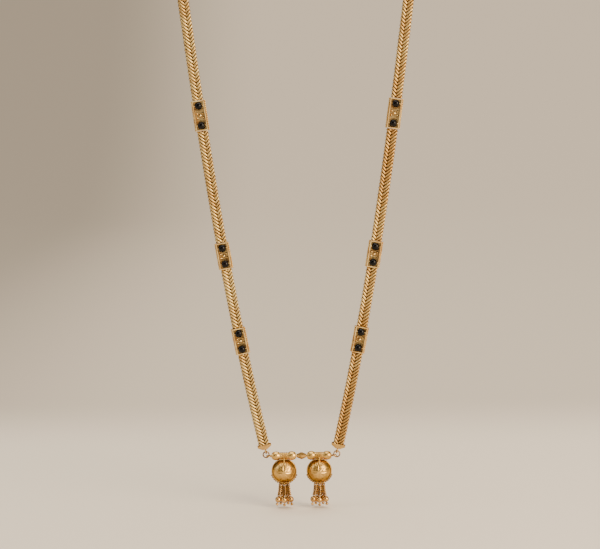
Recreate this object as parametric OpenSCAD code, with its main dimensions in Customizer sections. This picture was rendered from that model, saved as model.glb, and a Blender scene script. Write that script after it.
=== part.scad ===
// A mangalsutra: two flat woven gold bands with bead plaques, a cross wire at the foot
// that carries two domed pendants with chain tassels, and an S-hook at the nape.
// All sizes are in millimetres. The origin is the point of the nape on which the clasp
// lies, +Z is up and -Y is the front. The left half mirrors the right one.

/* [Loop] */
// Height of the front stretch, from the cross wire up to where the band turns over the shoulder
front_h = 190; // [186:1:196]
// Depth of the loop, from the nape to the front plane
loop_depth = 100; // [96:1:104]
// Drop from the nape to the cross wire
loop_drop = 270; // [266:1:276]
// Half the spread of the two bands at the height of the cross wire
spread_foot = 14.5; // [14.3:0.1:14.8]
// Sideways gain of a band for each millimetre of height, at the foot
spread_slope = 0.233; // [0.22:0.001:0.25]
// Easing of that gain with the square of the height
spread_ease = 0.00048; // [0.0004:0.00001:0.0005]
// Return of that gain with the cube of the height
spread_return = 0.00000068; // [0:0.00000001:0.000001]
// How far the band keeps its line before it bends over the shoulder
turn_reach = 60; // [50:1:70]
// Sideways reach of the band's bend round the back of the neck
nape_reach = 78; // [70:1:84]
// Tilt of the band's face at the nape, up from straight back
nape_tilt = 28; // [15:1:40]

/* [Woven bands] */
// Width of the woven band
band_w = 5.0; // [4.8:0.1:5.1]
// Thickness of the woven band
band_t = 1.6; // [1.4:0.1:1.7]

/* [Plaques] */
// Width of a plaque over its two side rails
plaque_w = 5.9; // [5.7:0.1:6.2]
// Thickness of a plaque's back plate
plate_t = 0.5; // [0.4:0.05:0.6]
// Height of a plaque's walls above its back plate
wall_h = 1.85; // [1.8:0.05:2]
// Thickness of a plaque's walls
wall_t = 0.42; // [0.35:0.01:0.5]
// Diameter of a black bead
black_d = 3.2; // [3:0.1:3.3]

/* [Cross wire and rings] */
// Diameter of the cross wire
wire_d = 0.9; // [0.8:0.05:1]
// Mean radius of a jump ring at the foot
ring_r = 1.25; // [1.2:0.01:1.3]
// Wire diameter of a jump ring at the foot
ring_wire = 0.5; // [0.4:0.01:0.54]

/* [Pendants] */
// Distance of each pendant's middle from the middle of the cross wire
pendant_x = 7.4; // [7.3:0.1:7.5]
// Length of a pendant's bail tube
bail_len = 10.3; // [10:0.1:10.4]
// Largest diameter of the bail tube, over its two barrels
bail_d = 3.7; // [3.5:0.1:3.8]
// Drop from the cross wire to the dome's middle
dome_drop = 6.65; // [6.5:0.05:6.8]
// Radius of the dome at its foot
dome_r = 4.85; // [4.7:0.05:4.9]
// Height of the dome
dome_h = 3.9; // [3.6:0.1:4]
// Wall of the dome
dome_wall = 0.4; // [0.35:0.05:0.5]
// Radius of the granules round the dome's foot
granule_r = 0.43; // [0.4:0.01:0.45]

/* [Tassels] */
// Diameter of the gold bead at the end of each strand
tassel_bead_d = 2.5; // [2.3:0.1:2.5]
// Spread of the strands at their ends, as a share of the spread at their tops
tassel_flare = 1.0; // [0.95:0.01:1.1]
// Links in each strand
link_n = 5; // [3:1:5]

/* [Hidden] */
$fn = 48;

// Running gap between pieces that are fitted together
fit = 0.14;

// The pieces' names
sides = ["left", "right"];
side_pieces = ["jump_ring", "front_cap", "back_cap", "back_ring", "vati"];
band_n = 4;
plaque_n = 3;
strand_n = 5;
bead_places = ["lower", "upper"];

// Colours
woven_gold = "#c9a25c";
bright_gold = "#dcae5e";
deep_gold = "#c08a3c";
black_glass = "#120c0a";

// Plaques: how far up the front each one sits, and its length
plaque_at = [48.9, 84.6, 142.6];
plaque_len = [11.0, 11.0, 12.4];
rail_w = 0.36;
rail_h = 0.35;
groove_w = 0.14;
tray_w = plaque_w - 2 * (rail_w + groove_w);
plaque_back = -0.95;
plate_top = plaque_back + plate_t;
black_rise = plate_top + fit + black_d / 2;
black_bore = 0.7;
black_pin = 0.48;
collar_r = 1.95;
collar_wire = 0.3;
collar_sweep = 120;
// The cluster between the two black beads: how far aside, how far along, radius
cluster = [[0, 0, 0.7], [1.2, 0.85, 0.48], [-1.2, 0.85, 0.48], [1.2, -0.85, 0.48], [-1.2, -0.85, 0.48]];
cluster_sink = 0.15;

// End caps: an eye, a tapering body and a slot that holds the band's end
eye_r = 0.9;
eye_wire = 0.6;
cap_start = 0.95;
cap_taper = 1.15;
cap_len = 1.9;
cap_root_w = 2.0;
cap_wall = 0.22;
cap_grip = 0.65;
cap_w = band_w + 2 * (fit + cap_wall);
cap_t = band_t + 2 * (fit + cap_wall);
cap_band = cap_start + cap_len - cap_grip;

// Foot of the bands: the cap's eye rides in the jump ring, which rides in the wire's eye
cap_eye_at = 2.05;
ring_lean = 5;
eye_to_ring = ring_r + eye_r - eye_wire / 2 - ring_wire / 2 - fit;
wire_eye_r = 0.8;
wire_eye_wire = 0.5;
// How far outward the wire's eye lies from the ring's centre line, because the ring leans in it
wire_eye_shift = 0.1;

// Nape: S-hook, ring and end cap on each side
s_loop_r = 2.0;
s_wire = 1.0;
s_sweep = 300;
s_ball_d = 1.2;
s_collar_d = 1.2;
s_collar_len = 0.9;
back_ring_r = 1.45;
back_ring_wire = 0.56;
hook_x = 2 * s_loop_r;
back_ring_x = hook_x + back_ring_r - back_ring_wire / 2 - s_wire / 2 - fit;
back_eye_x = back_ring_x + back_ring_r - back_ring_wire / 2 - fit - eye_wire / 2 + eye_r;
nape_face = [0, cos(nape_tilt), sin(nape_tilt)];
nape_lift = cap_t / 2;
side_face = [0.5, 0, 0.85];
front_face = [0, -1, 0];

// Route of the right band: a station is a height up the front, and past front_h it
// counts on through the bend over the shoulder to the nape
shoulder_len = 162;
route_end = front_h + shoulder_len;
turn_start = front_point(front_h);
turn_mid = turn_start + turn_reach * unit([spread_gain(front_h), 0, 1]);
nape_end = nape_lift * nape_face + [back_eye_x + cap_band, 0, 0];
nape_mid = [nape_reach, nape_end.y, nape_end.z];
ring_step = 4;
section_n = 16;
section_squareness = 0.5;
band_section = [for (k = [0:section_n - 1]) let (a = (k + 0.5) * 360 / section_n)
    [band_w / 2 * rounded(cos(a)), band_t / 2 * rounded(sin(a))]];

// Bail and dome
bail_bore = wire_d + 0.22;
barrel_len = 3.1;
barrel_end_r = 1.3;
bail_mid_r = 1.35;
bail_mid_len = 3.5;
ridge_x = [-1.2, -0.4, 0.4, 1.2];
ridge_r = 0.17;
bail_end_r = 1.0;
dome_ball = (pow(dome_r, 2) + pow(dome_h, 2)) / (2 * dome_h);
dome_y = 0.79;
dome_ball_y = dome_y + dome_ball - dome_h;
rim_r = 5.0;
rim_wire = 0.6;
flange_r = 5.2;
flange_t = 0.5;
granule_ring = 5.4;
granule_step = 10;
granule_n = 15;
petal_n = 8;
petal_tool = 0.8;
petal_depth = 0.15;
petal_tool_len = 3.2;
// Petal cuts: how far each ring lies from the dome's crown, and its turn, in degrees
petal_rings = [[22, 0], [47, 22.5]];
saddle = [3.0, 0.75, 2.1];
saddle_top = -0.5;
strap_top = [0, -1.45, -0.7];
strap_foot = [0, -1.75, -3.3];
strap_r = 0.4;

// Centre bead
centre_len = 4.0;
centre_d = 3.0;
centre_end_r = 0.95;
facet_n = 8;
facet_cut = 0.16;

// Tassels: the middle front strand, then the outer front pair, then the rear pair
strand_turn = [0, -1.85, 1.85, -0.925, 0.925];
strand_row = [-1, -1, -1, 1, 1];
strand_eye_out = [0.75, 0.75, 0.75, 0.8, 0.8];
strand_part = 0.68;
hang_eye_r = 0.55;
hang_eye_wire = 0.3;
link_r = 0.64;
link_wire = 0.3;
link_step = 0.86;
link_twist = 98;
first_link = link_r + hang_eye_r - hang_eye_wire / 2 - link_wire / 2 - fit;
pin_loop_r = 0.48;
pin_loop_wire = 0.3;
pin_d = 0.26;
pin_ball_d = 1.2;
tassel_bore = 0.5;
pin_at = first_link + (link_n - 1) * link_step + link_r - link_wire / 2 - fit + pin_loop_r - pin_loop_wire / 2;
bead_at = pin_loop_r + pin_loop_wire / 2 + fit + tassel_bead_d / 2;
ball_at = bead_at + tassel_bead_d / 2 + fit + pin_ball_d / 2;
tassel_len = pin_at + ball_at;

function unit(v) = v / norm(v);
function rounded(v) = sign(v) * pow(abs(v), section_squareness);
function spread(h) = spread_foot + spread_slope * h - spread_ease * pow(h, 2) + spread_return * pow(h, 3);
function spread_gain(h) = spread_slope - 2 * spread_ease * h + 3 * spread_return * pow(h, 2);
function front_point(h) = [spread(h), -loop_depth, h - loop_drop];
function shoulder_point(u) =
    pow(1 - u, 3) * turn_start + 3 * pow(1 - u, 2) * u * turn_mid
    + 3 * (1 - u) * pow(u, 2) * nape_mid + pow(u, 3) * nape_end;
function route_point(s) = s <= front_h ? front_point(s) : shoulder_point((s - front_h) / shoulder_len);
function route_dir(s) = unit(route_point(min(s + 0.05, route_end)) - route_point(s - 0.05));
function blend_face(u) = pow(1 - u, 2) * front_face + 2 * u * (1 - u) * side_face + pow(u, 2) * nape_face;
function square_to(v, t) = unit(v - (v * t) * t);
function route_face(s) = square_to(blend_face(max(0, s - front_h) / shoulder_len), route_dir(s));
function band_low(i) = i == 0 ? cap_eye_at + cap_band * route_dir(cap_eye_at).z
    : plaque_at[i - 1] + (plaque_len[i - 1] / 2 + fit) * route_dir(plaque_at[i - 1]).z;
function band_high(i) = i == plaque_n ? route_end
    : plaque_at[i] - (plaque_len[i] / 2 + fit) * route_dir(plaque_at[i]).z;
function granule_place(k) = [granule_ring * sin(k * granule_step), dome_y,
    -dome_drop - granule_ring * cos(k * granule_step)];
function strand_top(i) = granule_place(strand_turn[i]) + [0, strand_row[i] * strand_eye_out[i], 0];
function strand_point(i, q) = let (top = strand_top(i), f = pow(q / tassel_len, 2))
    [top.x * (1 + tassel_flare * f), top.y + strand_row[i] * strand_part * f, top.z - q];
function strand_up(i, q) = unit(strand_point(i, q - 0.05) - strand_point(i, q + 0.05));

// Puts its children at a place with their X, Y and Z along the given directions
module seat(at, x, y, z) {
    multmatrix([[x.x, y.x, z.x, at.x], [x.y, y.y, z.y, at.y], [x.z, y.z, z.z, at.z]]) children();
}

// Band frame at a station: X across the band, Y along it, Z out of its face
module on_band(s) {
    seat(route_point(s), cross(route_dir(s), route_face(s)), route_dir(s), route_face(s)) children();
}

// Strand frame at a depth below the strand's eye: Z up along the strand
module on_strand(i, q) {
    up = strand_up(i, q);
    side = square_to([1, 0, 0], up);
    seat(strand_point(i, q), side, cross(up, side), up) children();
}

module on_side(s) {
    mirror([s == "left" ? 1 : 0, 0, 0]) children();
}

module at_cross() {
    translate([0, -loop_depth, -loop_drop]) children();
}

// Nape frame: X along the clasp, Z out of the band's face
module at_nape() {
    seat(nape_lift * nape_face, [1, 0, 0], cross(nape_face, [1, 0, 0]), nape_face) children();
}

module ring(r, wire) {
    rotate_extrude() translate([r, 0]) circle(d = wire);
}

// Round bead with a hole along Z
module drilled_bead(d, bore) {
    rotate_extrude() intersection() {
        circle(d = d);
        translate([bore / 2, -d]) square([d, 2 * d]);
    }
}

// One stretch of woven band, swept along the route between two stations
module band(i) {
    low = band_low(i);
    high = band_high(i);
    n = ceil((high - low) / ring_step);
    points = [for (k = [0:n]) let (
            s = low + (high - low) * k / n,
            at = route_point(s),
            across = cross(route_dir(s), route_face(s)),
            out = route_face(s))
        for (p = band_section) at + p.x * across + p.y * out];
    walls = [for (k = [0:n - 1]) for (j = [0:section_n - 1]) let (
            a = k * section_n + j,
            b = k * section_n + (j + 1) % section_n)
        each [[a, b, b + section_n], [a, b + section_n, a + section_n]]];
    foot = [for (j = [0:section_n - 1]) section_n - 1 - j];
    head = [for (j = [0:section_n - 1]) n * section_n + j];
    color(woven_gold) polyhedron(points, concat([foot, head], walls), convexity = 6);
}

// A shallow gold tray with a rail along each side, a wire arc round each bead, a pin
// through each bead, and a cluster of granules in the middle
module plaque(i) {
    len = plaque_len[i];
    color(deep_gold) {
        translate([-plaque_w / 2, -len / 2, plaque_back]) cube([plaque_w, len, plate_t]);
        translate([0, 0, plate_top - 0.1]) linear_extrude(wall_h + 0.1) difference() {
            square([tray_w, len], center = true);
            square([tray_w - 2 * wall_t, len - 2 * wall_t], center = true);
        }
        for (e = [-1, 1]) {
            translate([e * (plaque_w - rail_w) / 2 - rail_w / 2, -len / 2, plate_top - 0.1])
                cube([rail_w, len, rail_h + 0.1]);
            translate([0, e * black_offset(i), black_rise]) rotate([0, 90, 0])
                cylinder(d = black_pin, h = tray_w - wall_t, center = true);
            translate([0, e * black_offset(i), plate_top]) rotate([0, 0, -90 * e - collar_sweep / 2])
                rotate_extrude(angle = collar_sweep) translate([collar_r, 0]) circle(d = collar_wire);
        }
        for (g = cluster) translate([g.x, g.y, plate_top + g.z - cluster_sink]) sphere(g.z);
    }
}

function black_offset(i) = plaque_len[i] / 2 - wall_t - fit - black_d / 2;

module black_bead(i, place) {
    e = place == "upper" ? 1 : -1;
    color(black_glass) translate([0, e * black_offset(i), black_rise]) rotate([0, 90, 0])
        drilled_bead(black_d, black_bore);
}

// End cap with its eye at the origin and its mouth towards +Y
module end_cap(flat_eye) {
    color(bright_gold) {
        rotate([0, flat_eye ? 0 : 90, 0]) ring(eye_r, eye_wire);
        difference() {
            translate([0, 0, -cap_t / 2]) linear_extrude(cap_t) polygon([
                [-cap_root_w / 2, cap_start], [cap_root_w / 2, cap_start],
                [cap_w / 2, cap_start + cap_taper], [cap_w / 2, cap_start + cap_len],
                [-cap_w / 2, cap_start + cap_len], [-cap_w / 2, cap_start + cap_taper]]);
            translate([-band_w / 2 - fit, cap_band - fit, -band_t / 2 - fit])
                cube([band_w + 2 * fit, cap_len, band_t + 2 * fit]);
        }
    }
}

module front_cap() {
    on_band(cap_eye_at) end_cap(false);
}

module back_cap() {
    at_nape() translate([back_eye_x, 0, 0]) rotate([0, 0, -90]) end_cap(true);
}

function ring_place() = route_point(cap_eye_at) - eye_to_ring * [sin(ring_lean), 0, cos(ring_lean)];
function wire_eye_x() = wire_eye_shift + ring_place().x
    - sqrt(pow(ring_r, 2) - pow(ring_place().z + loop_drop, 2));

module jump_ring() {
    color(deep_gold) translate(ring_place()) rotate([90, 0, 0]) ring(ring_r, ring_wire);
}

module back_ring() {
    color(deep_gold) at_nape() translate([back_ring_x, 0, 0]) rotate([90, 0, 0])
        ring(back_ring_r, back_ring_wire);
}

// Two open loops joined by a collar in the middle, each with a ball at its tip
module s_hook() {
    color(bright_gold) at_nape() {
        rotate([90, 0, 0]) cylinder(d = s_collar_d, h = s_collar_len, center = true);
        for (turn = [0, 180]) rotate([0, 0, turn]) translate([s_loop_r, 0, 0]) rotate([0, 0, 180 - s_sweep]) {
            rotate_extrude(angle = s_sweep) translate([s_loop_r, 0]) circle(d = s_wire);
            translate([s_loop_r, 0, 0]) sphere(d = s_ball_d);
        }
    }
}

// Straight wire along X with a flat eye at each end
module cross_wire() {
    straight = wire_eye_x() - wire_eye_r + 0.1;
    color(deep_gold) at_cross() {
        rotate([0, 90, 0]) cylinder(d = wire_d, h = 2 * straight, center = true);
        for (e = [-1, 1]) translate([e * wire_eye_x(), 0, 0]) ring(wire_eye_r, wire_eye_wire);
    }
}

// Solid of revolution about X whose side is one arc, from end_r up to mid_r and back
module barrel(len, mid_r, end_r) {
    arc = (pow(len / 2, 2) + pow(mid_r - end_r, 2)) / (2 * (mid_r - end_r));
    rotate([0, 90, 0]) rotate_extrude() intersection() {
        translate([mid_r - arc, 0]) circle(arc);
        translate([0, -len / 2]) square([mid_r + 1, len]);
    }
}

module centre_bead() {
    color(bright_gold) at_cross() difference() {
        barrel(centre_len, centre_d / 2, centre_end_r);
        for (k = [0:facet_n - 1]) rotate([k * 360 / facet_n, 0, 0]) for (lean = [-22, 22])
            rotate([0, lean, 0]) translate([-centre_len, -centre_d, centre_d / 2 - facet_cut])
                cube([2 * centre_len, 2 * centre_d, centre_d]);
        rotate([0, 90, 0]) cylinder(d = bail_bore, h = centre_len + 2, center = true);
    }
}

// Bail tube: two barrels, a ridged middle and a small collar at each end
module bail() {
    rotate([0, 90, 0]) cylinder(r = bail_mid_r, h = bail_mid_len + 0.4, center = true);
    for (x = ridge_x) translate([x, 0, 0]) rotate([0, 90, 0]) ring(bail_mid_r, 2 * ridge_r);
    for (e = [-1, 1]) translate([e * (bail_mid_len + barrel_len) / 2, 0, 0])
        barrel(barrel_len, bail_d / 2, barrel_end_r);
    rotate([0, 90, 0]) cylinder(r = bail_end_r, h = bail_len, center = true);
}

// Domed front with two rings of leaf-shaped cuts
module dome() {
    translate([0, dome_ball_y, -dome_drop]) difference() {
        intersection() {
            sphere(dome_ball);
            translate([-dome_ball, -dome_ball - 1, -dome_ball])
                cube([2 * dome_ball, dome_h + 1, 2 * dome_ball]);
        }
        for (p = petal_rings) for (k = [0:petal_n - 1])
            rotate([0, p[1] + k * 360 / petal_n, 0]) rotate([0, 0, p[0]])
                translate([0, petal_depth - dome_ball - petal_tool, 0])
                    rotate([0, 90, 0]) cylinder(r = petal_tool, h = petal_tool_len, center = true);
    }
}

// Smooth wire and flat flange round the dome's foot, with granules along the lower part
module dome_foot() {
    translate([0, dome_y, -dome_drop]) rotate([90, 0, 0]) ring(rim_r, rim_wire);
    translate([0, dome_y + flange_t, -dome_drop]) rotate([90, 0, 0]) cylinder(r = flange_r, h = flange_t - 0.05);
    for (k = [0:granule_n - 1]) translate(granule_place(k - (granule_n - 1) / 2)) sphere(granule_r);
}

// Small wire strap from the bail down over the dome's upper edge
module strap() {
    run = strap_foot - strap_top;
    translate(strap_top) rotate([atan2(run.y, -run.z) + 180, 0, 0]) cylinder(r = strap_r, h = norm(run));
    for (p = [strap_top, strap_foot]) translate(p) sphere(strap_r + 0.05);
}

// One soldered pendant, hollow behind its dome, with the cross wire's middle at the origin
module vati() {
    color(bright_gold) difference() {
        union() {
            bail();
            dome();
            dome_foot();
            strap();
            translate([-saddle.x / 2, dome_y - 0.3, saddle_top - saddle.z]) cube(saddle);
            for (i = [0:strand_n - 1]) translate(strand_top(i)) rotate([0, 90, 0])
                ring(hang_eye_r, hang_eye_wire);
        }
        rotate([0, 90, 0]) cylinder(d = bail_bore, h = bail_len + 2, center = true);
        translate([0, dome_ball_y, -dome_drop]) sphere(dome_ball - dome_wall);
    }
}

// One strand: round links, then a headed pin with a loop that carries a gold bead
module tassel(i) {
    color(deep_gold) {
        for (k = [0:link_n - 1]) on_strand(i, first_link + k * link_step)
            rotate([0, 0, k * link_twist]) rotate([90, 0, 0]) ring(link_r, link_wire);
        on_strand(i, pin_at) {
            rotate([0, 0, link_n * link_twist]) rotate([90, 0, 0]) ring(pin_loop_r, pin_loop_wire);
            translate([0, 0, -ball_at]) cylinder(d = pin_d, h = ball_at - pin_loop_r);
            translate([0, 0, -ball_at]) sphere(d = pin_ball_d);
            translate([0, 0, -bead_at]) drilled_bead(tassel_bead_d, tassel_bore);
        }
    }
}

module pendant_side() {
    at_cross() translate([pendant_x, 0, 0]) children();
}

cross_wire();
centre_bead();
s_hook();
for (s = sides) {
    on_side(s) jump_ring();
    on_side(s) front_cap();
    on_side(s) back_cap();
    on_side(s) back_ring();
    on_side(s) pendant_side() vati();
    for (i = [1:band_n])
        on_side(s) band(i - 1);
    for (i = [1:plaque_n]) {
        on_side(s) on_band(plaque_at[i - 1]) plaque(i - 1);
        for (p = bead_places) on_side(s) on_band(plaque_at[i - 1]) black_bead(i - 1, p);
    }
    for (i = [1:strand_n])
        on_side(s) pendant_side() tassel(i - 1);
}
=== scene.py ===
"""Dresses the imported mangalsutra: its woven bands, beaded plaque edges, gold, glass and studio.

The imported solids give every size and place. The weave and the tassels' twisted links are modelled
here and take the place of the plain bands and strands, the plaques get their beaded edges, and
every metal and glass surface gets its finish.
"""

import sys
import logging
import math
from collections.abc import Callable
from dataclasses import dataclass
from enum import Enum
from functools import partial

import bpy
import numpy as np
from mathutils import Matrix, Vector


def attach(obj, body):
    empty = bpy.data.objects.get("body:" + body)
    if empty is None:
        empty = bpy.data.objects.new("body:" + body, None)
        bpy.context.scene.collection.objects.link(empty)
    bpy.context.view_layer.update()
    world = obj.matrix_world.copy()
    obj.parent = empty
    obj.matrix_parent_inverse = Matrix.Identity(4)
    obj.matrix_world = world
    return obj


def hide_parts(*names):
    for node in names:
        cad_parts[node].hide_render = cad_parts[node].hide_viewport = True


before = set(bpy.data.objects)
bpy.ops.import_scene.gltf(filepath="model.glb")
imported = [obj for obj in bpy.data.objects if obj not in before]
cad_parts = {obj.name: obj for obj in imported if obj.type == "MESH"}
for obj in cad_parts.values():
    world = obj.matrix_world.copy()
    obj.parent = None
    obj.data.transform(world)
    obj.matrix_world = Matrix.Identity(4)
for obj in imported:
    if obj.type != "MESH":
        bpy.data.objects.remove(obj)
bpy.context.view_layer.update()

log = logging.getLogger("mangalsutra")

MM = 0.001
NECKLACE = "necklace"
TINT_SEED = 7
SMOOTH_ANGLE = math.radians(50)
# How far off the middle a point lies before it counts as being on one side, in millimetres
OFF_MIDDLE = 1e-4
# How far to each side a route is read to find its direction, in millimetres
BESIDE = 0.05


def linear(colour: str) -> tuple[float, float, float, float]:
    """Turns an sRGB hex colour into the linear values that a shader takes.

    Args:
        colour: The colour as "#rrggbb".

    Returns:
        Red, green, blue and an alpha of 1.
    """
    parts = [int(colour[k : k + 2], 16) / 255 for k in (1, 3, 5)]
    curved = [c / 12.92 if c <= 0.04045 else ((c + 0.055) / 1.055) ** 2.4 for c in parts]
    return (curved[0], curved[1], curved[2], 1.0)


def per_metre(size_mm: float) -> float:
    """Gives the texture scale whose features measure about size_mm.

    Args:
        size_mm: The size of one feature, in millimetres.

    Returns:
        The scale for a texture on Object coordinates, which are in metres.
    """
    return 1.0 / (size_mm * MM)


def plug(tree: bpy.types.NodeTree, node: bpy.types.Node, **links) -> None:
    """Links or sets the inputs of a node.

    Args:
        tree: The node's tree.
        node: The node.
        **links: What each input takes, by the input's name with _ for a space, or by _ and its
            number: a node's output to link, or a plain value to set.
    """
    for name, value in links.items():
        socket = node.inputs[int(name[1:])] if name[1:].isdigit() else node.inputs[name.replace("_", " ")]
        if isinstance(value, bpy.types.NodeSocket):
            tree.links.new(value, socket)
        else:
            socket.default_value = value


def add_node(tree: bpy.types.NodeTree, kind: str, settings: dict | None = None, **links) -> bpy.types.Node:
    """Adds one shader node with its settings, its socket values and its links.

    Args:
        tree: The node tree that takes the node.
        kind: The node's type, such as "ShaderNodeTexNoise".
        settings: Properties of the node, by name.
        **links: What each input takes, as plug has it.

    Returns:
        The new node.
    """
    node = tree.nodes.new(kind)
    for name, value in (settings or {}).items():
        setattr(node, name, value)
    plug(tree, node, **links)
    return node


def math_node(tree: bpy.types.NodeTree, operation: str, *values) -> bpy.types.NodeSocket:
    """Adds one math node.

    Args:
        tree: The material's tree.
        operation: What the node does, such as "MULTIPLY".
        *values: Its inputs in order, each an output to link or a plain value.

    Returns:
        The node's output.
    """
    inputs = {f"_{k}": value for k, value in enumerate(values)}
    return add_node(tree, "ShaderNodeMath", {"operation": operation}, **inputs).outputs[0]


def noise(
    tree: bpy.types.NodeTree, where: bpy.types.NodeSocket, size_mm: float, detail: float
) -> bpy.types.NodeSocket:
    """Adds one noise.

    Args:
        tree: The material's tree.
        where: The Object coordinates.
        size_mm: About how large its features are, in millimetres.
        detail: How many finer layers it has.

    Returns:
        The noise's value.
    """
    scale = per_metre(size_mm)
    return add_node(tree, "ShaderNodeTexNoise", Vector=where, Scale=scale, Detail=detail).outputs["Fac"]


def two_colours(
    tree: bpy.types.NodeTree, factor: bpy.types.NodeSocket, first: str, second: str,
    first_at: float = 0.0, second_at: float = 1.0,
) -> bpy.types.NodeSocket:
    """Adds a ramp that drifts from one colour to another.

    Args:
        tree: The material's tree.
        factor: What the ramp reads.
        first: The colour up to first_at, as sRGB hex.
        second: The colour from second_at on, as sRGB hex.
        first_at: Where the drift starts.
        second_at: Where it ends.

    Returns:
        The ramp's colour.
    """
    ramp = add_node(tree, "ShaderNodeValToRGB", Fac=factor)
    ends = ramp.color_ramp.elements
    ends[0].position, ends[1].position = first_at, second_at
    ends[0].color, ends[1].color = linear(first), linear(second)
    return ramp.outputs["Color"]


def new_material(
    name: str,
) -> tuple[bpy.types.Material, bpy.types.NodeTree, bpy.types.Node, bpy.types.NodeSocket]:
    """Starts a material.

    Args:
        name: The material's name.

    Returns:
        The material, its tree, its shader and the Object coordinates.
    """
    made = bpy.data.materials.new(name)
    made.use_nodes = True
    tree = made.node_tree
    where = add_node(tree, "ShaderNodeTexCoord").outputs["Object"]
    return made, tree, tree.nodes["Principled BSDF"], where


def deselect() -> None:
    """Leaves object mode with nothing selected."""
    if bpy.context.object and bpy.context.object.mode != "OBJECT":
        bpy.ops.object.mode_set(mode="OBJECT")
    bpy.ops.object.select_all(action="DESELECT")


def activate(*pieces: bpy.types.Object) -> None:
    """Selects these pieces alone and makes the first one active."""
    deselect()
    for piece in pieces:
        piece.select_set(True)
    bpy.context.view_layer.objects.active = pieces[0]


class Side(Enum):
    """A half of the necklace, named as someone sees it who looks at its front."""

    LEFT = "left"
    RIGHT = "right"

    @property
    def sign(self) -> int:
        """Gives the sign of X on this side."""
        return 1 if self is Side.RIGHT else -1


class Slot(Enum):
    """Names of the record's material slots for the pieces modelled here."""

    WOVEN = "woven_gold"
    DEEP = "deep_gold"


# Finishes


@dataclass(frozen=True)
class WovenGold:
    """Drawn gold wire, rolled and woven: satin faces, every loop a little unlike the next, and painted light
    that makes the left paler.
    """

    name: str = "woven_gold_wire"
    pale: str = "#e4c886"
    warm: str = "#c2985a"
    edge: str = "#b89058"
    warm_at: float = 0.42
    pale_at: float = 0.92
    cloud_mm: float = 38.0
    tint_share: float = 0.35
    # Paler towards the left by this much for each metre of X: painted light
    painted_light_to_left: float = -3.2
    roughness: float = 0.42
    mark_mm: float = 0.12
    mark_strength: float = 0.25
    mark_depth: float = 0.02 * MM

    def material(self) -> bpy.types.Material:
        """Makes the material, which reads the loops' own tint attribute and has painted light that makes it
        paler at the left.
        """
        made, tree, shader, where = new_material(self.name)
        tint = add_node(tree, "ShaderNodeAttribute", {"attribute_name": "tint"}).outputs["Fac"]
        across = add_node(tree, "ShaderNodeSeparateXYZ", Vector=where).outputs["X"]
        cloud = noise(tree, where, self.cloud_mm, detail=1.0)
        cloud_and_painted_light = math_node(tree, "MULTIPLY_ADD", across, self.painted_light_to_left, cloud)
        both = math_node(tree, "MULTIPLY_ADD", tint, self.tint_share, cloud_and_painted_light)
        marks = noise(tree, where, self.mark_mm, detail=2.0)
        bump = add_node(
            tree, "ShaderNodeBump", Strength=self.mark_strength, Distance=self.mark_depth, Height=marks,
        )
        plug(
            tree, shader, Metallic=1.0, Roughness=self.roughness, Specular_Tint=linear(self.edge),
            Base_Color=two_colours(tree, both, self.warm, self.pale, self.warm_at, self.pale_at),
            Normal=bump.outputs["Normal"],
        )
        return made


class PaintedShade(Enum):
    """Where shade is painted on a gold piece: a darker colour in its recesses, seams and grooves, while its
    open faces keep their own.
    """

    NONE = "none"
    RECESS = "recess attribute"
    PENDANT = "round a pendant's dome and between its granules"
    TRAY = "in the grooves and on the floor of a plaque"


@dataclass(frozen=True)
class PendantMask:
    """Marks where shade is painted on both pendants, in the seam round each dome and on the granules, by the
    place of their domes and granules, in metres.
    """

    pendant_x: float = 0.0074
    dome_z: float = -0.27665
    dome_r: float = 0.00475
    seam_half_w: float = 0.00012
    granule_root: float = 0.00524
    granule_count: float = 36.0
    granule_mean: float = 0.8
    granule_swing: float = -0.2
    front_y: float = -0.0988

    def output(self, tree: bpy.types.NodeTree, where: bpy.types.NodeSocket) -> bpy.types.NodeSocket:
        """Adds the mask's nodes.

        Args:
            tree: The material's tree.
            where: The Object coordinates.

        Returns:
            The mask of painted shade, 1 in the seam and between the granules, less on them and 0 on an open
            face.
        """
        place = add_node(tree, "ShaderNodeSeparateXYZ", Vector=where)
        calc = partial(math_node, tree)
        x = calc("SUBTRACT", calc("ABSOLUTE", place.outputs["X"]), self.pendant_x)
        z = calc("SUBTRACT", place.outputs["Z"], self.dome_z)
        r = calc("SQRT", calc("ADD", calc("MULTIPLY", x, x), calc("MULTIPLY", z, z)))
        seam = calc("LESS_THAN", calc("ABSOLUTE", calc("SUBTRACT", r, self.dome_r)), self.seam_half_w)
        turn = calc("MULTIPLY", calc("ARCTAN2", x, z), self.granule_count)
        between = calc("MULTIPLY_ADD", calc("COSINE", turn), self.granule_swing, self.granule_mean)
        outside = calc("GREATER_THAN", r, self.granule_root)
        # Shade is painted on the granules only below the dome's middle, and on both seam and granules only at
        # the front.
        below = calc("LESS_THAN", z, 0.0)
        granules = calc("MULTIPLY", calc("MULTIPLY", between, outside), below)
        front = calc("LESS_THAN", place.outputs["Y"], self.front_y)
        return calc("MULTIPLY", calc("MAXIMUM", seam, granules), front)


@dataclass(frozen=True)
class TrayMask:
    """Marks where shade is painted: the low grooves and floors of the plaques, whose faces all look along Y,
    in metres.
    """

    bright_y: float = -0.1001
    dark_y: float = -0.0996
    back_y: float = -0.0995

    def output(self, tree: bpy.types.NodeTree, where: bpy.types.NodeSocket) -> bpy.types.NodeSocket:
        """Adds the mask's nodes.

        Args:
            tree: The material's tree.
            where: The Object coordinates.

        Returns:
            The mask of painted shade, 1 on a floor and 0 from the top of the rails outward.
        """
        y = add_node(tree, "ShaderNodeSeparateXYZ", Vector=where).outputs["Y"]
        low = add_node(
            tree, "ShaderNodeMapRange", Value=y, From_Min=self.bright_y, From_Max=self.dark_y,
            To_Min=0.0, To_Max=1.0,
        )
        front = math_node(tree, "LESS_THAN", y, self.back_y)
        return math_node(tree, "MULTIPLY", low.outputs["Result"], front)


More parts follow.
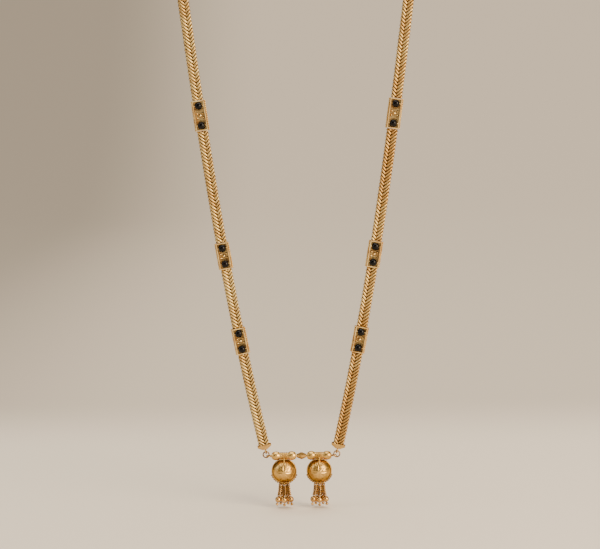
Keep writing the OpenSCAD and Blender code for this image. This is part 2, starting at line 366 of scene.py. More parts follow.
@dataclass(frozen=True)
class PolishedGold:
    """Cast and soldered gold, polished by hand: soft mirror faces with a fine buffing grain."""

    name: str
    light: str
    deep: str
    roughness_low: float
    roughness_high: float
    # Where shade is painted on this piece
    painted_shade: PaintedShade = PaintedShade.NONE
    edge: str = "#b8863e"
    # The painted shade's colour, and how much of it the mask mixes in
    painted_shade_colour: str = "#4a2c12"
    painted_shade_share: float = 0.85
    drift_mm: float = 3.2
    deep_at: float = 0.35
    light_at: float = 0.65
    gloss_from: float = 0.3
    gloss_to: float = 0.7
    grain_mm: float = 0.16
    grain_strength: float = 0.15
    grain_depth: float = 0.02 * MM
    hollow_mm: float = 1.3
    hollow_strength: float = 0.2
    hollow_depth: float = 0.04 * MM

    def mask(self, tree: bpy.types.NodeTree, where: bpy.types.NodeSocket) -> bpy.types.NodeSocket:
        """Adds the nodes that tell where the painted shade lies.

        Args:
            tree: The material's tree.
            where: The Object coordinates.

        Returns:
            The mask, 1 in a recess and 0 on an open face.
        """
        if self.painted_shade is PaintedShade.RECESS:
            return add_node(tree, "ShaderNodeAttribute", {"attribute_name": "recess"}).outputs["Fac"]
        places = TrayMask() if self.painted_shade is PaintedShade.TRAY else PendantMask()
        return places.output(tree, where)

    def material(self) -> bpy.types.Material:
        """Makes the material: a slow drift of colour and gloss over a fine grain, with painted shade where a
        mask is set.
        """
        made, tree, shader, where = new_material(self.name)
        drift = noise(tree, where, self.drift_mm, detail=3.0)
        colour = two_colours(tree, drift, self.deep, self.light, self.deep_at, self.light_at)
        gloss = add_node(
            tree, "ShaderNodeMapRange", Value=drift, From_Min=self.gloss_from, From_Max=self.gloss_to,
            To_Min=self.roughness_high, To_Max=self.roughness_low,
        )
        coarse = add_node(
            tree, "ShaderNodeBump", Strength=self.hollow_strength, Distance=self.hollow_depth,
            Height=noise(tree, where, self.hollow_mm, detail=1.0),
        )
        fine = add_node(
            tree, "ShaderNodeBump", Strength=self.grain_strength, Distance=self.grain_depth,
            Height=noise(tree, where, self.grain_mm, detail=2.0), Normal=coarse.outputs["Normal"],
        )
        # Painted shade: the mask mixes the shade colour into the gold.
        if self.painted_shade is not PaintedShade.NONE:
            kept = math_node(tree, "MULTIPLY", self.mask(tree, where), self.painted_shade_share)
            colour = add_node(
                tree, "ShaderNodeMixRGB", Fac=kept, Color1=colour, Color2=linear(self.painted_shade_colour),
            ).outputs["Color"]
        plug(
            tree, shader, Metallic=1.0, Base_Color=colour, Roughness=gloss.outputs["Result"],
            Normal=fine.outputs["Normal"], Specular_Tint=linear(self.edge),
        )
        return made


@dataclass(frozen=True)
class BlackGlass:
    """Opaque black glass, lamp-wound: a wet shine, a faint brown depth and a slightly wavy face."""

    name: str = "black_glass_bead"
    body: str = "#030202"
    streak: str = "#0e0604"
    body_at: float = 0.45
    streak_at: float = 0.7
    roughness: float = 0.06
    ior: float = 1.52
    shine: float = 0.18
    wave_mm: float = 1.1
    wave_strength: float = 0.2
    wave_depth: float = 0.05 * MM

    def material(self) -> bpy.types.Material:
        """Makes the material."""
        made, tree, shader, where = new_material(self.name)
        wave = noise(tree, where, self.wave_mm, detail=1.0)
        bump = add_node(
            tree, "ShaderNodeBump", Strength=self.wave_strength, Distance=self.wave_depth, Height=wave,
        )
        plug(
            tree, shader, Roughness=self.roughness, IOR=self.ior, Specular_IOR_Level=self.shine,
            Base_Color=two_colours(tree, wave, self.body, self.streak, self.body_at, self.streak_at),
            Normal=bump.outputs["Normal"],
        )
        return made


@dataclass(frozen=True)
class PaintedSweep:
    """Matt sheet, seamless from the floor up: a pale floor that drifts into a back with a painted glow,
    dimmer to the left.
    """

    name: str = "matt_sheet"
    floor: str = "#e6dac9"
    back: str = "#5c544b"
    # The back's glow is painted light
    glow: str = "#e8d2b4"
    glow_strength: float = 0.97
    turn_near: float = 0.02
    turn_far: float = 0.16
    # The glow fades towards the left to this share of its strength: painted shade
    dim_left: float = -0.34
    dim_from: float = -0.05
    dim: float = 0.5
    roughness: float = 0.9

    def material(self) -> bpy.types.Material:
        """Makes the material, which drifts from the floor's colour to the back's painted glow along Y, dimmer
        to the left.
        """
        made, tree, shader, where = new_material(self.name)
        place = add_node(tree, "ShaderNodeSeparateXYZ", Vector=where)
        drift = add_node(
            tree, "ShaderNodeMapRange", {"interpolation_type": "SMOOTHSTEP"}, Value=place.outputs["Y"],
            From_Min=self.turn_near, From_Max=self.turn_far, To_Min=0.0, To_Max=1.0,
        ).outputs["Result"]
        dimmed = add_node(
            tree, "ShaderNodeMapRange", {"interpolation_type": "SMOOTHSTEP"}, Value=place.outputs["X"],
            From_Min=self.dim_left, From_Max=self.dim_from, To_Min=self.dim * self.glow_strength,
            To_Max=self.glow_strength,
        ).outputs["Result"]
        plug(
            tree, shader, Roughness=self.roughness, Emission_Color=linear(self.glow),
            Emission_Strength=math_node(tree, "MULTIPLY", drift, dimmed),
            Base_Color=two_colours(tree, drift, self.floor, self.back),
        )
        return made


# The band's route


@dataclass(frozen=True)
class BandRoute:
    """Centre line of the right-hand band, in millimetres, by the values of the solids.

    A station is a height above the cross wire up to front_h, and past it a count through the
    bend over the shoulder to the nape.
    """

    front_h: float = 190.0
    loop_depth: float = 100.0
    loop_drop: float = 270.0
    spread_foot: float = 14.5
    spread_slope: float = 0.233
    spread_ease: float = 0.00048
    spread_return: float = 0.00000068
    turn_reach: float = 60.0
    nape_reach: float = 78.0
    nape_tilt: float = 28.0
    shoulder_len: float = 162.0
    shoulder_face: tuple[float, float, float] = (0.5, 0.0, 0.85)
    nape_x: float = 8.36
    nape_lift: float = 1.16
    cap_eye_at: float = 2.05
    cap_band: float = 2.2
    fit: float = 0.14
    plaque_at: tuple[float, ...] = (48.9, 84.6, 142.6)
    plaque_len: tuple[float, ...] = (11.0, 11.0, 12.4)
    grid_n: int = 4000

    @property
    def end(self) -> float:
        """Gives the last station, at the nape."""
        return self.front_h + self.shoulder_len

    def _gain(self, h: float) -> float:
        """Gives the sideways gain for each millimetre of height."""
        return self.spread_slope - 2 * self.spread_ease * h + 3 * self.spread_return * h**2

    def _front(self, h: float) -> Vector:
        """Gives the point at height h on the front stretch."""
        bend = self.spread_slope * h - self.spread_ease * h**2 + self.spread_return * h**3
        return Vector((self.spread_foot + bend, -self.loop_depth, h - self.loop_drop))

    def point(self, station: float) -> Vector:
        """Gives the point at a station.

        Args:
            station: Where on the route.

        Returns:
            The point, in millimetres.
        """
        if station <= self.front_h:
            return self._front(station)
        u = (station - self.front_h) / self.shoulder_len
        start = self._front(self.front_h)
        middle = start + self.turn_reach * Vector((self._gain(self.front_h), 0, 1)).normalized()
        last = self.nape_lift * self._nape_face() + Vector((self.nape_x, 0, 0))
        reach = Vector((self.nape_reach, last.y, last.z))
        return (1 - u) ** 3 * start + 3 * (1 - u) ** 2 * u * middle + 3 * (1 - u) * u**2 * reach + u**3 * last

    def _nape_face(self) -> Vector:
        """Gives the way that the band's face looks at the nape."""
        tilt = math.radians(self.nape_tilt)
        return Vector((0, math.cos(tilt), math.sin(tilt)))

    def along(self, station: float) -> Vector:
        """Gives the band's direction at a station.

        Args:
            station: Where on the route.

        Returns:
            A unit vector that points from the foot to the nape.
        """
        return (self.point(station + BESIDE) - self.point(station - BESIDE)).normalized()

    def face(self, station: float) -> Vector:
        """Gives the way that the band's face looks at a station.

        Args:
            station: Where on the route.

        Returns:
            A unit vector, square to the band's direction.
        """
        u = max(0.0, station - self.front_h) / self.shoulder_len
        looks = (
            (1 - u) ** 2 * Vector((0, -1, 0))
            + 2 * u * (1 - u) * Vector(self.shoulder_face)
            + u**2 * self._nape_face()
        )
        way = self.along(station)
        return (looks - looks.dot(way) * way).normalized()

    def seat(self, station: float, side: Side) -> Matrix:
        """Gives the band's own frame at a station: X across it, Y along it and Z out of its face.

        Args:
            station: Where on the route.
            side: The half of the necklace.

        Returns:
            The frame as a 4 by 4 matrix, in millimetres.
        """
        flip = Vector((side.sign, 1, 1))
        way, out, at = (flip * v for v in (self.along(station), self.face(station), self.point(station)))
        across = way.cross(out)
        rows = [(across[k], way[k], out[k], at[k]) for k in range(3)]
        return Matrix((*rows, (0, 0, 0, 1)))

    def ends(self, number: int) -> tuple[float, float]:
        """Gives the stations at which one of the four bands starts and ends.

        Args:
            number: The band, 1 at the foot to 4 at the nape.

        Returns:
            The lower and the upper station.
        """
        low = self.cap_eye_at + self.cap_band * self.along(self.cap_eye_at).z
        high = self.end
        if number > 1:
            at = self.plaque_at[number - 2]
            low = at + (self.plaque_len[number - 2] / 2 + self.fit) * self.along(at).z
        if number <= len(self.plaque_at):
            at = self.plaque_at[number - 1]
            high = at - (self.plaque_len[number - 1] / 2 + self.fit) * self.along(at).z
        return low, high

    def stations(self, low: float, high: float, pitch: float, beyond: float) -> list[float]:
        """Spaces stations evenly by the length along the band.

        Args:
            low: The first station of the band.
            high: Its last station.
            pitch: The distance between two stations, in millimetres of band.
            beyond: How far the row of stations runs on past each end.

        Returns:
            The stations, from below low to above high.
        """
        grid = np.linspace(low - beyond, high + beyond, self.grid_n)
        points = np.array([self.point(float(s)) for s in grid])
        run = np.concatenate([[0.0], np.cumsum(np.linalg.norm(np.diff(points, axis=0), axis=1))])
        return [float(s) for s in np.interp(np.arange(0.0, run[-1], pitch), run, grid)]


# Copies of a modelled piece


def copies(
    name: str,
    model: bpy.types.Object,
    seats: list[Matrix],
    tints: list[float],
    recess: Callable[[np.ndarray], np.ndarray] | None = None,
) -> bpy.types.Object:
    """Joins many placed copies of a modelled piece into one new object.

    Args:
        name: The new object's name.
        model: The piece, modelled once round the origin in millimetres.
        seats: Where each copy goes, in millimetres.
        tints: A number from 0 to 1 for each copy, kept in the point attribute "tint".
        recess: Takes the model's points as rows and gives how deep in a recess each one lies.
            Kept from 0 to 1 in the point attribute "recess".

    Returns:
        The joined object, in metres, at the origin.
    """
    count = len(model.data.vertices)
    base = np.empty(count * 3)
    model.data.vertices.foreach_get("co", base)
    base = base.reshape(-1, 3)
    deep = np.clip(recess(base), 0.0, 1.0) if recess else np.zeros(count)
    faces = [tuple(p.vertices) for p in model.data.polygons]
    points, walls = [], []
    for k, seat in enumerate(seats):
        turn = np.array(seat)
        points.append((base @ turn[:3, :3].T + turn[:3, 3]) * MM)
        walls.extend(tuple(v + k * count for v in f) for f in faces)
    mesh = bpy.data.meshes.new(name)
    mesh.from_pydata(np.concatenate(points).tolist(), [], walls)
    tint = mesh.attributes.new("tint", "FLOAT", "POINT")
    tint.data.foreach_set("value", np.repeat(np.array(tints, np.float32), count))
    sunk = mesh.attributes.new("recess", "FLOAT", "POINT")
    sunk.data.foreach_set("value", np.tile(deep.astype(np.float32), len(seats)))
    made = bpy.data.objects.new(name, mesh)
    bpy.context.scene.collection.objects.link(made)
    return made


def triangles(piece: bpy.types.Object) -> int:
    """Counts a piece's triangles.

    Args:
        piece: A mesh object.

    Returns:
        The number of triangles after its faces are cut up.
    """
    return sum(len(p.vertices) - 2 for p in piece.data.polygons)


def select_where(piece: bpy.types.Object, test: Callable[[Vector], bool]) -> None:
    """Selects the vertices of a piece in edit mode by their place.

    Args:
        piece: The mesh object that is being edited.
        test: Takes a vertex's place and says whether it is selected.
    """
    bpy.ops.mesh.select_all(action="DESELECT")
    bpy.ops.object.mode_set(mode="OBJECT")
    for v in piece.data.vertices:
        v.select = test(v.co)
    bpy.ops.object.mode_set(mode="EDIT")


def remove(*pieces: bpy.types.Object) -> None:
    """Deletes models that were only copied from."""
    for piece in pieces:
        bpy.data.meshes.remove(piece.data)


# Woven bands


@dataclass
class WovenBand:
    """One stretch of the flat band: two files of leaning wire loops that meet in a V on each face."""

    side: Side
    number: int
    route: BandRoute
    half_w: float = 2.5
    half_t: float = 0.8
    pitch: float = 1.5
    lean: float = 42.0
    wire_w: float = 0.74
    wire_t: float = 0.42
    past_meet: float = 0.3
    meet_inward: float = 0.3
    middle_dip: float = 0.1
    edge_inset: float = 0.8
    core_w: float = 4.3
    core_t: float = 0.5
    core_overlap: float = 1.04
    core_bevel: float = 0.2

    @property
    def name(self) -> str:
        """Gives the node's name."""
        return f"{self.side.value}_band_{self.number}"

    def model_loop(self, meet: float) -> bpy.types.Object:
        """Models one wire loop: a ring drawn out long, leaned over and set on the right half.

        Args:
            meet: How far past the middle of the band the two files meet.

        Returns:
            The loop, in millimetres.
        """
        turn_r = self.half_t - self.wire_t / 2
        lean = math.radians(self.lean)
        reach = meet + self.past_meet
        across = self.half_w + reach - self.wire_w * math.cos(lean) * self.edge_inset
        straight = across / math.sin(lean) - 2 * self.half_t
        deselect()
        bpy.ops.mesh.primitive_torus_add(
            major_segments=16, minor_segments=8, major_radius=turn_r, minor_radius=self.wire_t / 2,
            rotation=(math.pi / 2, 0, 0),
        )
        loop = bpy.context.object
        bpy.ops.object.transform_apply(location=False, rotation=True, scale=False)
        bpy.ops.object.mode_set(mode="EDIT")
        bpy.ops.transform.resize(value=(1, self.wire_w / self.wire_t, 1), center_override=(0, 0, 0))
        for end in (-1, 1):
            select_where(loop, lambda co, e=end: co.x * e > OFF_MIDDLE)
            bpy.ops.transform.translate(value=(end * straight / 2, 0, 0))
        for out in (-1, 1):
            select_where(loop, lambda co, o=out: co.x < 0 and co.z * o > self.half_t / 3)
            bpy.ops.transform.translate(value=(0, 0, -out * self.middle_dip))
        bpy.ops.mesh.select_all(action="SELECT")
        bpy.ops.mesh.normals_make_consistent(inside=False)
        bpy.ops.object.mode_set(mode="OBJECT")
        middle = (self.half_w - reach) / 2
        stand = Matrix.Translation((middle, 0, 0)) @ Matrix.Rotation(math.pi / 2 - lean, 4, "Z")
        loop.data.transform(stand)
        return loop

    def model_core(self) -> bpy.types.Object:
        """Models one pitch of the tightly packed wire inside the loops, as a bevelled bar, whose dark finish
        is painted shade in the gaps.
        """
        deselect()
        bpy.ops.mesh.primitive_cube_add(size=1)
        core = bpy.context.object
        bpy.ops.object.mode_set(mode="EDIT")
        size = (self.core_w, self.pitch * self.core_overlap, self.core_t)
        bpy.ops.transform.resize(value=size, center_override=(0, 0, 0))
        bpy.ops.mesh.bevel(offset=self.core_t * self.core_bevel, segments=2)
        bpy.ops.object.mode_set(mode="OBJECT")
        return core

    def build(self, draw: np.random.RandomState, finishes: dict[str, bpy.types.Material]) -> bpy.types.Object:
        """Weaves the band and sets it in the place of its plain solid.

        Args:
            draw: Gives each loop's tint.
            finishes: The materials by name.

        Returns:
            The woven piece.
        """
        low, high = self.route.ends(self.number)
        rows = self.route.stations(low, high, self.pitch, beyond=2 * self.half_w)
        half_row = Matrix.Translation((0, self.pitch / 2, 0))
        turned = Matrix.Rotation(math.pi, 4, "Y")
        seats = [self.route.seat(station, self.side) for station in rows]
        meet = self.meet_inward * self.side.sign
        right_loop, left_loop, core = self.model_loop(meet), self.model_loop(-meet), self.model_core()
        files = [
            copies(f"{self.name}_weave", right_loop, seats, draw.uniform(0, 1, len(seats)).tolist()),
            copies(
                f"{self.name}_left_file", left_loop, [seat @ half_row @ turned for seat in seats],
                draw.uniform(0, 1, len(seats)).tolist(),
            ),
            copies(f"{self.name}_core", core, seats, [0.0] * len(seats)),
        ]
        remove(right_loop, left_loop, core)
        for piece in files:
            piece.data.materials.append(finishes["woven"])
            piece.data.materials.append(finishes["core"])
        # The core takes the dark inner-wire finish, painted shade in the gaps between the loops.
        for face in files[2].data.polygons:
            face.material_index = 1
        woven = files[0]
        activate(*files)
        bpy.ops.object.join()
        bpy.ops.object.shade_smooth_by_angle(angle=SMOOTH_ANGLE)
        self.cut_ends(woven, low, high)
        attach(woven, NECKLACE)
        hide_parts(self.name)
        log.info("%s: %d rows, %d triangles", woven.name, len(rows), triangles(woven))
        return woven

    def cut_ends(self, woven: bpy.types.Object, low: float, high: float) -> None:
        """Cuts the weave flat at both ends and closes the cut wires.

        Args:
            woven: The woven piece.
            low: The band's lower station.
            high: Its upper station.
        """
        activate(woven)
        bpy.ops.object.mode_set(mode="EDIT")
        for station, outward in ((low, -1), (high, 1)):
            seat = self.route.seat(station, self.side)
            bpy.ops.mesh.select_all(action="SELECT")
            bpy.ops.mesh.bisect(
                plane_co=seat.translation * MM, plane_no=seat.col[1].to_3d() * outward,
                use_fill=True, clear_outer=True, threshold=1e-7,
            )
        bpy.ops.object.mode_set(mode="OBJECT")


# Plaques


@dataclass
class PlaqueEdge:
    """The beaded edge along both sides of a plaque: a row of small grains on each rail."""

    side: Side
    number: int
    route: BandRoute
    rail_x: float = 2.77
    rail_top: float = -0.1
    grain_r: float = 0.31
    pitch: float = 0.82
    sink: float = 0.05
    flat_above: float = 0.8
    flat_at: float = 0.86

    def model_grain(self) -> bpy.types.Object:
        """Models one grain: a small ball, a little flattened on top as a graver leaves it."""
        deselect()
        bpy.ops.mesh.primitive_uv_sphere_add(segments=12, ring_count=8, radius=self.grain_r)
        grain = bpy.context.object
        bpy.ops.object.mode_set(mode="EDIT")
        select_where(grain, lambda co: co.z > self.grain_r * self.flat_above)
        bpy.ops.transform.resize(value=(1, 1, 0), center_override=(0, 0, self.grain_r * self.flat_at))
        bpy.ops.object.mode_set(mode="OBJECT")
        return grain

    def build(self, finish: bpy.types.Material) -> bpy.types.Object:
        """Sets the grains on the rails.

        Args:
            finish: The grains' material.

        Returns:
            The joined grains.
        """
        seat = self.route.seat(self.route.plaque_at[self.number - 1], self.side)
        room = self.route.plaque_len[self.number - 1] - 2 * self.grain_r
        count = int(room / self.pitch) + 1
        step = room / (count - 1)
        places = [
            seat @ Matrix.Translation((edge * self.rail_x, -room / 2 + k * step, self.rail_top - self.sink))
            for edge in (-1, 1)
            for k in range(count)
        ]
        grain = self.model_grain()
        made = copies(f"{self.side.value}_plaque_{self.number}_grains", grain, places, [0.0] * len(places))
        remove(grain)
        made.data.materials.append(finish)
        activate(made)
        bpy.ops.object.shade_smooth()
        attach(made, NECKLACE)
        log.info("%s: %d grains, %d triangles", made.name, len(places), triangles(made))
        return made


# Tassels


@dataclass(frozen=True)
class StrandRoute:
    """Centre line of one strand under its pendant, in millimetres, by the values of the solids."""

    side: Side
    number: int
    pendant_x: float = 7.4
    loop_depth: float = 100.0
    loop_drop: float = 270.0
    dome_y: float = 0.79
    dome_drop: float = 6.65
    granule_ring: float = 5.4
    granule_step: float = 10.0
    turns: tuple[float, ...] = (0.0, -1.85, 1.85, -0.925, 0.925)
    rows: tuple[int, ...] = (-1, -1, -1, 1, 1)
    eye_out: tuple[float, ...] = (0.75, 0.75, 0.75, 0.8, 0.8)
    part: float = 0.68
    flare: float = 1.0
    pin_at: float = 4.87
    bead_d: float = 2.5
    bead_at: float = 2.02
    ball_d: float = 1.2
    ball_at: float = 4.01

    def point(self, depth: float) -> Vector:
        """Gives the point at a depth below the strand's eye.

        Args:
            depth: How far down, in millimetres.

        Returns:
            The point, in millimetres.
        """
        turn = math.radians(self.turns[self.number - 1] * self.granule_step)
        row = self.rows[self.number - 1]
        gone = (depth / (self.pin_at + self.ball_at)) ** 2
        x = self.pendant_x + self.granule_ring * math.sin(turn) * (1 + self.flare * gone)
        y = self.dome_y + row * (self.eye_out[self.number - 1] + self.part * gone) - self.loop_depth
        z = -self.dome_drop - self.granule_ring * math.cos(turn) - depth - self.loop_drop
        return Vector((self.side.sign * x, y, z))

    def seat(self, depth: float) -> Matrix:
        """Gives the strand's own frame at a depth, with Z up along it.

        Args:
            depth: How far below the strand's eye, in millimetres.

        Returns:
            The frame as a 4 by 4 matrix, in millimetres.
        """
        at = self.point(depth)
        up = (self.point(depth - BESIDE) - self.point(depth + BESIDE)).normalized()
        across = (Vector((1, 0, 0)) - up.x * up).normalized()
        ahead = up.cross(across)
        rows = [(across[k], ahead[k], up[k], at[k]) for k in range(3)]
        return Matrix((*rows, (0, 0, 0, 1)))


@dataclass
class TasselStrand:
    """One strand: close-set twisted links, then a headed pin that carries a gold bead."""

    side: Side
    number: int
    link_n: int = 6
    link_wire: float = 0.46
    link_half_w: float = 0.62
    link_clear: float = 0.02
    link_twist: float = 90.0
    eye_inside: float = 0.4
    pin_d: float = 0.26
    # Where the shade painted inside the strand starts, and over how much of the wire it deepens
    recess_from: float = 0.1
    recess_share: float = 0.6

    @property
    def route(self) -> StrandRoute:
        """Gives the strand's centre line."""
        return StrandRoute(self.side, self.number)

    @property
    def step(self) -> float:
        """Gives the distance from link to link, so that they fill the run from the eye to the bead."""
        route = self.route
        bead_top = route.pin_at + route.bead_at - route.bead_d / 2
        return (bead_top - self.eye_inside) / self.link_n

    def model_link(self, half_len: float) -> bpy.types.Object:
        """Models one link: a ring drawn out long and twisted, so that its ends lie crosswise.

        Args:
            half_len: Half the link's length between the middles of its wire, in millimetres.

        Returns:
            The link, standing along Z with the wire of its top end along X.
        """
        deselect()
        bpy.ops.mesh.primitive_torus_add(
            major_segments=24, minor_segments=8, major_radius=self.link_half_w,
            minor_radius=self.link_wire / 2, rotation=(math.pi / 2, 0, 0),
        )
        link = bpy.context.object
        bpy.ops.object.transform_apply(location=False, rotation=True, scale=False)
        bpy.ops.object.mode_set(mode="EDIT")
        for end in (-1, 1):
            select_where(link, lambda co, e=end: co.z * e > OFF_MIDDLE)
            bpy.ops.transform.translate(value=(0, 0, end * (half_len - self.link_half_w)))
        bpy.ops.object.mode_set(mode="OBJECT")
        twist = link.modifiers.new("twist", "SIMPLE_DEFORM")
        twist.deform_method = "TWIST"
        twist.deform_axis = "Z"
        twist.angle = math.radians(self.link_twist)
        bpy.ops.object.modifier_apply(modifier=twist.name)
        link.data.transform(Matrix.Rotation(-math.radians(self.link_twist) / 2, 4, "Z"))
        return link

    def link_recess(self, points: np.ndarray) -> np.ndarray:
        """Tells how deep inside the strand each point of a link lies, which sets how much shade is painted
        there.

        Args:
            points: The link's points, a row each, in millimetres.

        Returns:
            0 on the outside of the wire, rising past 1 next to the strand's middle.
        """
        out = np.hypot(points[:, 0], points[:, 1])
        return (self.link_half_w + self.recess_from - out) / (self.link_wire * self.recess_share)

    def model_drop(self) -> bpy.types.Object:
        """Models what hangs from the last link: a bead on a pin, and the pin's ball."""
        route = self.route
        deselect()
        run = route.ball_at - route.bead_at
        bpy.ops.mesh.primitive_cylinder_add(
            vertices=12, radius=self.pin_d / 2, depth=run, location=(0, 0, -route.bead_at - run / 2)
        )
        parts = [bpy.context.object]
        for d, depth in ((route.bead_d, route.bead_at), (route.ball_d, route.ball_at)):
            bpy.ops.mesh.primitive_uv_sphere_add(
                segments=28, ring_count=18, radius=d / 2, location=(0, 0, -depth)
            )
            parts.append(bpy.context.object)
        activate(*parts)
        bpy.ops.object.join()
        bpy.ops.object.transform_apply(location=True, rotation=True, scale=True)
        return parts[0]

    def build(self, finish: bpy.types.Material) -> bpy.types.Object:
        """Hangs the strand and sets it in the place of its plain solids.

        Args:
            finish: The strand's material.

        Returns:
            The joined strand.
        """
        route = self.route
        name = f"{self.side.value}_tassel_{self.number}"
        step = self.step
        half_len = (step + self.link_wire + self.link_clear) / 2
        first = self.eye_inside - self.link_wire / 2 - self.link_clear + half_len
        link, drop = self.model_link(half_len), self.model_drop()
        seats = [route.seat(first + k * step) for k in range(self.link_n)]
        # Each link's points carry how deep they lie, for the shade painted inside the strand
        made = copies(f"{name}_strand", link, seats, [0.0] * self.link_n, self.link_recess)
        hung = copies(f"{name}_drop", drop, [route.seat(route.pin_at)], [0.0])
        remove(link, drop)
        for piece in (made, hung):
            piece.data.materials.append(finish)
        activate(made, hung)
        bpy.ops.object.join()
        bpy.ops.object.shade_smooth_by_angle(angle=SMOOTH_ANGLE)
        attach(made, f"{self.side.value}_pendant")
        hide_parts(name)
        log.info("%s: step %.2f, %d triangles", made.name, step, triangles(made))
        return made


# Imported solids


class Solids:
    """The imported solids, of which caps, rings, wire, hook, pendants, plaques and beads stay in view."""

    def __init__(self, finishes: dict[str, bpy.types.Material]) -> None:
        """Keeps the finishes.

        Args:
            finishes: The materials by name.
        """
        self.finishes = finishes

    def finish_of(self, node: str) -> str:
        """Names the finish of a node.

        Args:
            node: The node's name.

        Returns:
            The key of its material.
        """
        if "_bead_" in node:
            return "glass"
        if "vati" in node:
            return "pendant"
        if "cap" in node or node in ("centre_bead", "s_hook"):
            return "bright"
        if "plaque" in node:
            return "plaque"
        if "ring" in node:
            return "ring"
        return "deep"

    def dress(self) -> None:
        """Gives each node its finish."""
        for name, node in sorted(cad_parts.items()):
            finish = self.finishes[self.finish_of(name)]
            node.data.materials.clear()
            node.data.materials.append(finish)
            log.info("%s: %s, %d triangles", name, finish.name, triangles(node))


# Studio


@dataclass(frozen=True)
class Softbox:
    """One soft area light."""

    name: str
    place: tuple[float, float, float]
    target: tuple[float, float, float]
    size: tuple[float, float]
    watts: float
    colour: str

    def build(self) -> bpy.types.Object:
        """Hangs the light and turns it to its target."""
        data = bpy.data.lights.new(self.name, "AREA")
        data.shape = "RECTANGLE"
        data.size, data.size_y = self.size
        data.energy = self.watts
        data.color = linear(self.colour)[:3]
        light = bpy.data.objects.new(self.name, data)
        bpy.context.scene.collection.objects.link(light)
        light.location = self.place
        way = Vector(self.target) - Vector(self.place)
        light.rotation_euler = way.to_track_quat("-Z", "Y").to_euler()
        return light


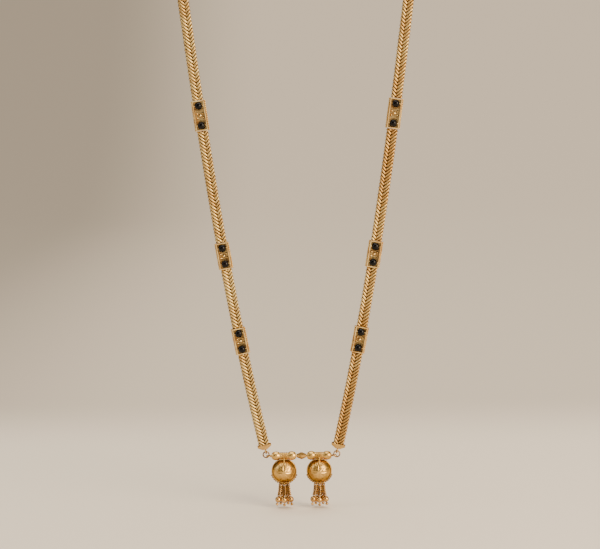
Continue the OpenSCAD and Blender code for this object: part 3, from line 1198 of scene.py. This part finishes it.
@dataclass(frozen=True)
class Studio:
    """The painted sweep, the soft lights and the camera."""

    floor_z: float = -0.2925
    sweep_half_w: float = 2.6
    sweep_front: float = -2.2
    sweep_back: float = 2.4
    sweep_top: float = 2.4
    sweep_curve: float = 0.9
    sweep_segments: int = 24
    near_floor: float = 0.01
    lit_point: tuple[float, float, float] = (0.0, -0.1, -0.2)
    room: str = "#c6c3bd"
    room_light: float = 0.26
    camera_at: tuple[float, float, float] = (0.0003, -0.7882, -0.1212)
    camera_pitch: float = -6.0
    camera_roll: float = -0.7
    focal: float = 100.0
    sensor: float = 36.0
    clip: tuple[float, float] = (0.01, 20.0)

    def build_sweep(self, finish: bpy.types.Material) -> bpy.types.Object:
        """Models the floor and the back as one sheet with a wide curve between them.

        Args:
            finish: The sheet's material.

        Returns:
            The sheet.
        """
        deselect()
        bpy.ops.mesh.primitive_plane_add(size=1)
        sweep = bpy.context.object
        sweep.name = "studio_sweep"
        middle = (self.sweep_front + self.sweep_back) / 2
        bpy.ops.object.mode_set(mode="EDIT")
        bpy.ops.transform.resize(
            value=(2 * self.sweep_half_w, self.sweep_back - self.sweep_front, 1), center_override=(0, 0, 0)
        )
        bpy.ops.transform.translate(value=(0, middle, self.floor_z))
        select_where(sweep, lambda co: co.y > middle)
        bpy.ops.mesh.extrude_region_move(TRANSFORM_OT_translate={"value": (0, 0, self.sweep_top)})
        select_where(sweep, lambda co: co.y > middle and co.z < self.floor_z + self.near_floor)
        bpy.ops.mesh.bevel(offset=self.sweep_curve, segments=self.sweep_segments, affect="EDGES")
        bpy.ops.object.mode_set(mode="OBJECT")
        bpy.ops.object.shade_smooth()
        sweep.data.materials.append(finish)
        return sweep

    def build_lights(self) -> None:
        """Hangs the softboxes and gives the room its even light."""
        lit = self.lit_point
        for box in (
            Softbox("key_softbox", (0.85, -0.85, 0.2), lit, (0.7, 0.85), 26.0, "#ffeacb"),
            Softbox("left_softbox", (-1.0, -0.3, 0.2), lit, (0.3, 0.9), 3.0, "#fffaf2"),
            Softbox("front_softbox", (0.0, -1.5, -0.12), lit, (0.7, 1.0), 2.5, "#fff6ea"),
            Softbox("top_softbox", (0.0, 0.0, 1.1), lit, (1.4, 1.5), 24.0, "#fff8ee"),
        ):
            box.build()
        world = bpy.data.worlds.new("room")
        world.use_nodes = True
        background = world.node_tree.nodes["Background"]
        background.inputs["Color"].default_value = linear(self.room)
        background.inputs["Strength"].default_value = self.room_light
        bpy.context.scene.world = world

    def build_camera(self) -> None:
        """Sets the camera at the photograph's place and angle."""
        pitch, roll = math.radians(self.camera_pitch), math.radians(self.camera_roll)
        ahead = Vector((0, math.cos(pitch), math.sin(pitch)))
        level = Vector((1, 0, 0))
        above = level.cross(ahead)
        right = math.cos(roll) * level + math.sin(roll) * above
        up = -math.sin(roll) * level + math.cos(roll) * above
        data = bpy.data.cameras.new("camera")
        data.lens = self.focal
        data.sensor_width = self.sensor
        data.clip_start, data.clip_end = self.clip
        camera = bpy.data.objects.new("camera", data)
        bpy.context.scene.collection.objects.link(camera)
        turn = Matrix((right, up, -ahead)).transposed().to_4x4()
        camera.matrix_world = Matrix.Translation(self.camera_at) @ turn
        bpy.context.scene.camera = camera

    def build(self) -> None:
        """Builds the whole studio."""
        self.build_sweep(PaintedSweep().material())
        self.build_lights()
        self.build_camera()


def make_finishes() -> dict[str, bpy.types.Material]:
    """Makes every finish of the necklace.

    Returns:
        The materials, by the names that finish_of gives, with the weave's two.
    """
    finishes = {
        "woven": WovenGold(),
        # The wire inside the weave, dark brown: painted shade in the gaps between the loops.
        "core": PolishedGold("inner_gold_wire_in_painted_shade", "#66451a", "#472b0e", 0.45, 0.6),
        "bright": PolishedGold("polished_gold", "#d2aa66", "#a47c44", 0.24, 0.34),
        # The pendants get painted shade in the seam round each dome and on and between the lower granules.
        "pendant": PolishedGold(
            "polished_pendant_gold", "#deb468", "#b08844", 0.3, 0.38, PaintedShade.PENDANT,
            edge="#dcb070", painted_shade_share=0.75,
        ),
        "ring": PolishedGold("worn_gold_ring", "#b08648", "#6e4a22", 0.3, 0.42),
        # The plaques get painted shade in their grooves and on their floors.
        "plaque": PolishedGold(
            "soldered_gold_tray", "#f2d694", "#d0a668", 0.34, 0.46, PaintedShade.TRAY, painted_shade_share=0.55,
        ),
        # The tassels' links get painted shade inside each strand, by their recess attribute.
        "deep": PolishedGold(
            "drawn_gold_wire", "#e8be78", "#b08650", 0.2, 0.3, PaintedShade.RECESS, painted_shade_share=0.38,
        ),
        "glass": BlackGlass(),
    }
    return {key: finish.material() for key, finish in finishes.items()}


def main() -> None:
    """Builds and dresses the necklace, then its studio."""
    logging.basicConfig(level=logging.INFO, format="%(name)s %(message)s", stream=sys.stdout)
    finishes = make_finishes()
    Solids(finishes).dress()
    route = BandRoute()
    plaque_n, strand_n = len(route.plaque_at), len(StrandRoute.turns)
    draw = np.random.RandomState(TINT_SEED)
    for side in Side:
        for number in range(1, plaque_n + 2):
            WovenBand(side, number, route).build(draw, finishes)
        for number in range(1, plaque_n + 1):
            PlaqueEdge(side, number, route).build(finishes["plaque"])
        for number in range(1, strand_n + 1):
            TasselStrand(side, number).build(finishes["deep"])
    Studio().build()


if __name__ == "__main__":
    main()
